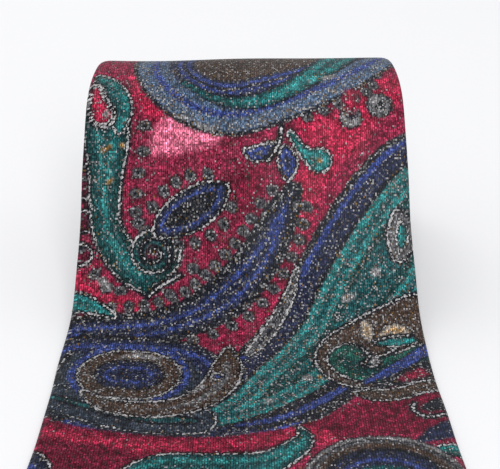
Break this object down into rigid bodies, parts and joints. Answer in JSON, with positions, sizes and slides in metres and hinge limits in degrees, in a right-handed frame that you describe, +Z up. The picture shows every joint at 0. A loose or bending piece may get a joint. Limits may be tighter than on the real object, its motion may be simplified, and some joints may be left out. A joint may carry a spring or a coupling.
{
  "type": "necktie",
  "caption": "Lined and interlined woven necktie, rolled from its narrow end, with the wide blade let down over the roll and its point laid flat on the table.",
  "frame": {"origin": "bottom centre of the box round the tie as it stands on the table", "axes": "+X across the tie, +Y along the table from the blade's point to the roll, +Z up"},
  "size_m": [0.098, 0.203, 0.0562],
  "materials": {
    "silk": "figured jacquard silk, crimson ground with teal, navy, brown and silver paisley",
    "wool": "brushed wool interlining",
    "lining": "smooth dark tipping with a soft shine",
    "thread": "twisted sewing thread",
    "label": "woven damask label, blank",
    "satin": "white satin ribbon, blank"
  },
  "bodies": {
    "roll": {"blade_shell_roll": "silk", "neck_shell": "silk", "tail_shell": "silk", "canvas_main": "wool", "canvas_tail": "wool", "tail_tipping": "lining", "slip_stitch": "thread", "tail_bar_tack": "thread", "blade_neck_seam": "thread", "neck_tail_seam": "thread", "canvas_join_stitch": "thread", "keeper_loop": "silk", "keeper_tack_left": "thread", "keeper_tack_right": "thread", "name_label": "label", "name_label_stitch_left": "thread", "name_label_stitch_right": "thread", "care_label_stitch": "thread"},
    "flap": {"blade_shell_flap": "silk", "canvas_flap": "wool", "blade_tipping_flap": "lining", "blade_bar_tack": "thread"},
    "tip": {"blade_shell_tip": "silk", "canvas_tip": "wool", "blade_tipping_tip": "lining"},
    "care_label": {"care_label": "satin"}
  },
  "joints": [
    {"name": "blade_lift", "type": "hinge", "parent": "roll", "child": "flap", "pos_m": [0, 0.00031, 0.00164], "axis": [-1, 0, 0], "range_deg": [0, 60]},
    {"name": "tip_fold", "type": "hinge", "parent": "flap", "child": "tip", "pos_m": [0, -0.04869, 0.00164], "axis": [-1, 0, 0], "range_deg": [0, 60]},
    {"name": "care_label_swing", "type": "hinge", "parent": "roll", "child": "care_label", "pos_m": [0.022, 0.03345, 0.0177], "axis": [1, 0, 0], "range_deg": [-25, 60]}
  ]
}
